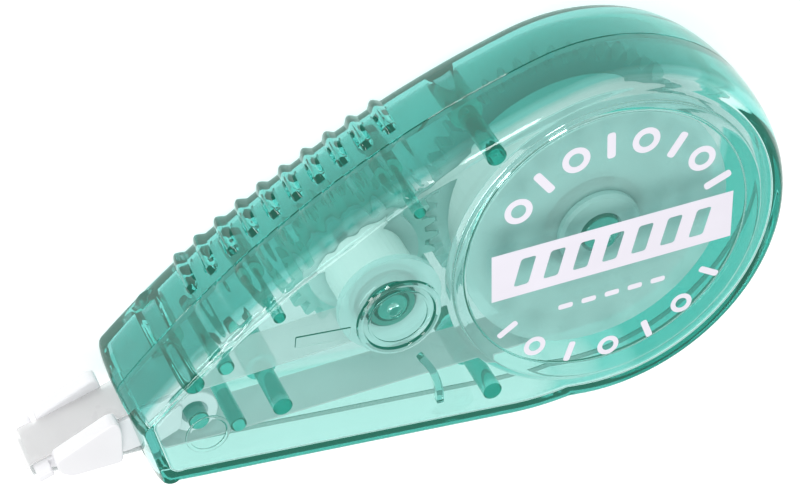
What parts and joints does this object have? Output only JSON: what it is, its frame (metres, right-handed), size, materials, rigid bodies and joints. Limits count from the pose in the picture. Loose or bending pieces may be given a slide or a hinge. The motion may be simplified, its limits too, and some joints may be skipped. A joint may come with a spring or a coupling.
{
  "type": "correction tape roller",
  "caption": "Hand-held correction tape roller: translucent teardrop case, ribbed grip edge, white applicator tip, geared reels and tape inside.",
  "frame": {"origin": "supply reel axis at the flat back face of the case", "axes": "+X along the straight bottom edge towards the round end, +Y towards the ribbed edge, +Z out of the front face"},
  "size_m": [0.0743, 0.0395, 0.0146],
  "materials": {
    "clear_teal": "polished translucent",
    "white_plastic": "satin",
    "pale_plastic": "satin translucent",
    "dark_rubber": "matte",
    "tape_white": "matte",
    "carrier_film": "thin clear film"
  },
  "bodies": {
    "case": {"back_cover": "clear_teal", "front_cover": "clear_teal", "applicator_tip": "white_plastic", "coated_tape_run": "tape_white", "carrier_film_run": "carrier_film"},
    "supply_drive": {"supply_gear": "pale_plastic", "hub_cap": "pale_plastic"},
    "supply_reel": {"supply_reel": "pale_plastic", "correction_tape_roll": "tape_white", "friction_ring": "dark_rubber"},
    "take_up_reel": {"take_up_gear": "pale_plastic", "take_up_spool": "pale_plastic", "used_film_roll": "carrier_film"}
  },
  "joints": [
    {"name": "supply_gear_turn", "type": "hinge", "parent": "case", "child": "supply_drive", "pos_m": [0, 0, 0.0027], "axis": [0, 0, 1], "continuous": true},
    {"name": "supply_reel_slip", "type": "hinge", "parent": "supply_drive", "child": "supply_reel", "pos_m": [0, 0, 0.0075], "axis": [0, 0, 1], "continuous": true},
    {"name": "take_up_turn", "type": "hinge", "parent": "case", "child": "take_up_reel", "pos_m": [-0.02069, -0.00451, 0.0027], "axis": [0, 0, 1], "continuous": true}
  ],
  "couplings": [
    {"joint": "take_up_turn", "follows": "supply_gear_turn", "ratio": -1.8519}
  ]
}
